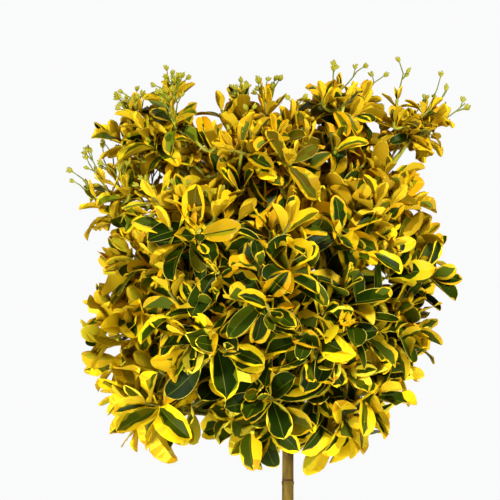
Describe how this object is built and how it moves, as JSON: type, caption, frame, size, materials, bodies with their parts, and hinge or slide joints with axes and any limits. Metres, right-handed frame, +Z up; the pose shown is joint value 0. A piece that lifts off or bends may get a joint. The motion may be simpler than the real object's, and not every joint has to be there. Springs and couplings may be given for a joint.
{
  "type": "standard japanese spindle shrub",
  "caption": "Variegated evergreen shrub grown as a standard: one clear upright stem with a flared foot carries a dense round head of green and gold leaves with small flower buds.",
  "frame": {"origin": "middle of the flat cut under the trunk, at ground level", "axes": "+Z up, -Y towards the viewer of the picture, +X to the plant's right as seen in it"},
  "size_m": [0.4735, 0.4528, 1.0045],
  "materials": {
    "bark": "matt greenish brown bark with pale fissures",
    "variegated_foliage": "glossy leathery leaves, dark green in the middle with golden edges"
  },
  "bodies": {
    "root": {"trunk": "bark", "bough_top_left": "bark", "bough_top_middle": "bark", "bough_top_right": "bark", "bough_top_front": "bark", "bough_top_back": "bark", "bough_right_shoot": "bark", "bough_right_upper": "bark", "bough_right_lower": "bark", "bough_left_shoot": "bark", "bough_left_upper": "bark", "bough_left_lower": "bark", "bough_front_upper_left": "bark", "bough_front_upper_right": "bark", "bough_front_middle": "bark", "bough_front_lower_left": "bark", "bough_front_lower_right": "bark", "bough_back_upper_left": "bark", "bough_back_upper_right": "bark", "bough_back_middle": "bark", "bough_back_lower_left": "bark", "bough_back_lower_right": "bark", "bough_bottom_left": "bark", "bough_bottom_front": "bark", "bough_bottom_right": "bark", "bough_bottom_back": "bark", "bough_right_shoulder": "bark", "foliage_top_left": "variegated_foliage", "foliage_top_middle": "variegated_foliage", "foliage_top_right": "variegated_foliage", "foliage_top_front": "variegated_foliage", "foliage_top_back": "variegated_foliage", "foliage_right_shoot": "variegated_foliage", "foliage_right_upper": "variegated_foliage", "foliage_right_lower": "variegated_foliage", "foliage_left_shoot": "variegated_foliage", "foliage_left_upper": "variegated_foliage", "foliage_left_lower": "variegated_foliage", "foliage_front_upper_left": "variegated_foliage", "foliage_front_upper_right": "variegated_foliage", "foliage_front_middle": "variegated_foliage", "foliage_front_lower_left": "variegated_foliage", "foliage_front_lower_right": "variegated_foliage", "foliage_back_upper_left": "variegated_foliage", "foliage_back_upper_right": "variegated_foliage", "foliage_back_middle": "variegated_foliage", "foliage_back_lower_left": "variegated_foliage", "foliage_back_lower_right": "variegated_foliage", "foliage_bottom_left": "variegated_foliage", "foliage_bottom_front": "variegated_foliage", "foliage_bottom_right": "variegated_foliage", "foliage_bottom_back": "variegated_foliage", "foliage_right_shoulder": "variegated_foliage"}
  },
  "joints": []
}
